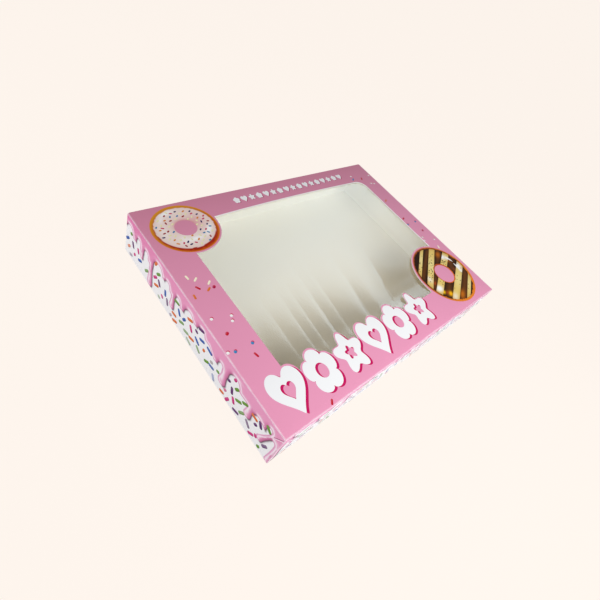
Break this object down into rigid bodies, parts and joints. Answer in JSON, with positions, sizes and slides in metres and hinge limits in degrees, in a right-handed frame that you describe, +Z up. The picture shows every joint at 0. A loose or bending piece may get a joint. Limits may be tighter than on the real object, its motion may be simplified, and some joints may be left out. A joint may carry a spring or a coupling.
{
  "type": "windowed doughnut box",
  "caption": "Flat folded paperboard bakery box with a tray, a hinged lid with a large clear film window cut round printed motifs, and a half-moon thumb notch in the front skirt.",
  "frame": {"origin": "middle of the footprint, on the surface that the box stands on", "axes": "+X to the right along the front, +Y towards the hinged back edge, +Z up"},
  "size_m": [0.394, 0.29, 0.0575],
  "materials": {
    "tray_board": "smooth white board",
    "lid_board": "printed and gloss-coated outside, plain white inside",
    "film": "clear and glossy"
  },
  "bodies": {
    "base": {"tray": "tray_board"},
    "cover": {"lid": "lid_board", "film": "film"}
  },
  "joints": [
    {"name": "lid_hinge", "type": "hinge", "parent": "base", "child": "cover", "pos_m": [0, 0.145, 0.0575], "axis": [-1, 0, 0], "range_deg": [0, 180]}
  ]
}
